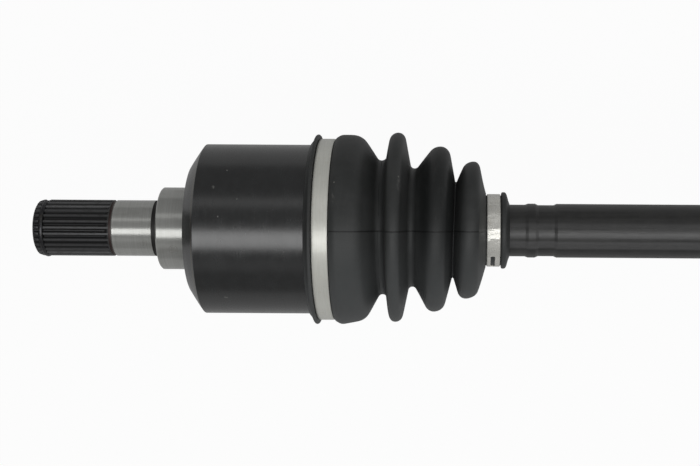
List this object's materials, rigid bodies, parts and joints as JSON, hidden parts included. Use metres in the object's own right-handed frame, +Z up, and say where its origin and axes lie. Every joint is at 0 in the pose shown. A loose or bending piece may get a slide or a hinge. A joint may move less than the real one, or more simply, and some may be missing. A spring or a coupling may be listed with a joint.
{
  "type": "drive shaft",
  "caption": "Front-wheel drive shaft: splined stub, plunging tripod joint and ball joint under convoluted rubber boots, joined by a solid bar.",
  "frame": {"origin": "on the shaft's axis, where the gearbox's oil seal runs on its journal", "axes": "+X along the shaft towards the wheel, +Z up along the tripod's first trunnion"},
  "size_m": [0.5893, 0.0908, 0.0908],
  "materials": {
    "black_housing": "satin black paint, ground journals",
    "black_bar": "satin black paint",
    "boot_rubber": "matt",
    "bright_steel": "ground",
    "clamp_steel": "bright stainless strip",
    "dark_steel": "hardened and oiled"
  },
  "bodies": {
    "housing": {"inboard_housing": "black_housing", "stub_circlip": "bright_steel", "plunge_spring": "bright_steel", "inboard_boot": "boot_rubber", "inboard_large_clamp": "clamp_steel"},
    "cup": {"spring_cup": "bright_steel"},
    "top_needles": {"needles_1": "bright_steel"},
    "top_roller": {"roller_1": "bright_steel"},
    "shaft": {"drive_bar": "black_bar", "spider": "dark_steel", "spider_circlip": "bright_steel", "spider_stop_ring": "bright_steel", "needles_2": "bright_steel", "needles_3": "bright_steel", "needle_washer_1": "bright_steel", "needle_washer_2": "bright_steel", "needle_washer_3": "bright_steel", "roller_snap_ring_1": "bright_steel", "roller_snap_ring_2": "bright_steel", "roller_snap_ring_3": "bright_steel", "inboard_small_clamp": "clamp_steel", "outboard_small_clamp": "clamp_steel", "inner_race": "dark_steel", "race_circlip": "bright_steel", "race_stop_ring": "bright_steel"},
    "second_roller": {"roller_2": "bright_steel"},
    "third_roller": {"roller_3": "bright_steel"},
    "first_ball": {"ball_1": "bright_steel"},
    "cage": {"cage": "dark_steel", "ball_2": "bright_steel", "ball_3": "bright_steel", "ball_5": "bright_steel", "ball_6": "bright_steel"},
    "fourth_ball": {"ball_4": "bright_steel"},
    "bell": {"outboard_bell": "black_housing", "outboard_boot": "boot_rubber", "outboard_large_clamp": "clamp_steel"}
  },
  "joints": [
    {"name": "plunge", "type": "slide", "parent": "housing", "child": "cup", "axis": [1, 0, 0], "range_m": [-0.009, 0.012], "deforming": ["plunge_spring", "inboard_boot"]},
    {"name": "inboard_bend", "type": "hinge", "parent": "cup", "child": "top_needles", "pos_m": [0.047, 0, 0], "axis": [0, 1, 0], "range_deg": [-15, 15], "deforming": ["inboard_boot"]},
    {"name": "inboard_sweep", "type": "hinge", "parent": "top_needles", "child": "shaft", "pos_m": [0.047, 0, 0], "axis": [0, 0, 1], "range_deg": [-5, 5], "deforming": ["inboard_boot"]},
    {"name": "top_roller_spin", "type": "hinge", "parent": "top_needles", "child": "top_roller", "pos_m": [0.047, 0, 0], "axis": [0, 0, 1], "range_deg": [-60, 60]},
    {"name": "second_roller_spin", "type": "hinge", "parent": "shaft", "child": "second_roller", "pos_m": [0.047, 0, 0], "axis": [0, -0.866, -0.5], "range_deg": [-60, 60]},
    {"name": "third_roller_spin", "type": "hinge", "parent": "shaft", "child": "third_roller", "pos_m": [0.047, 0, 0], "axis": [0, 0.866, -0.5], "range_deg": [-60, 60]},
    {"name": "outboard_steer_bar_half", "type": "hinge", "parent": "shaft", "child": "first_ball", "pos_m": [0.417, 0, 0], "axis": [0, 0, 1], "range_deg": [-20, 20], "deforming": ["outboard_boot"]},
    {"name": "outboard_bend_bar_half", "type": "hinge", "parent": "first_ball", "child": "cage", "pos_m": [0.417, 0, 0], "axis": [0, 1, 0], "range_deg": [-5, 5], "deforming": ["outboard_boot"]},
    {"name": "outboard_bend_wheel_half", "type": "hinge", "parent": "cage", "child": "fourth_ball", "pos_m": [0.417, 0, 0], "axis": [0, 1, 0], "range_deg": [-5, 5], "deforming": ["outboard_boot"]},
    {"name": "outboard_steer_wheel_half", "type": "hinge", "parent": "fourth_ball", "child": "bell", "pos_m": [0.417, 0, 0], "axis": [0, 0, 1], "range_deg": [-20, 20], "deforming": ["outboard_boot"]}
  ],
  "couplings": [
    {"joint": "top_roller_spin", "follows": "plunge", "rad_per_m": 68.966},
    {"joint": "second_roller_spin", "follows": "plunge", "rad_per_m": 68.966},
    {"joint": "third_roller_spin", "follows": "plunge", "rad_per_m": 68.966},
    {"joint": "outboard_bend_wheel_half", "follows": "outboard_bend_bar_half", "ratio": 1},
    {"joint": "outboard_steer_wheel_half", "follows": "outboard_steer_bar_half", "ratio": 1}
  ]
}
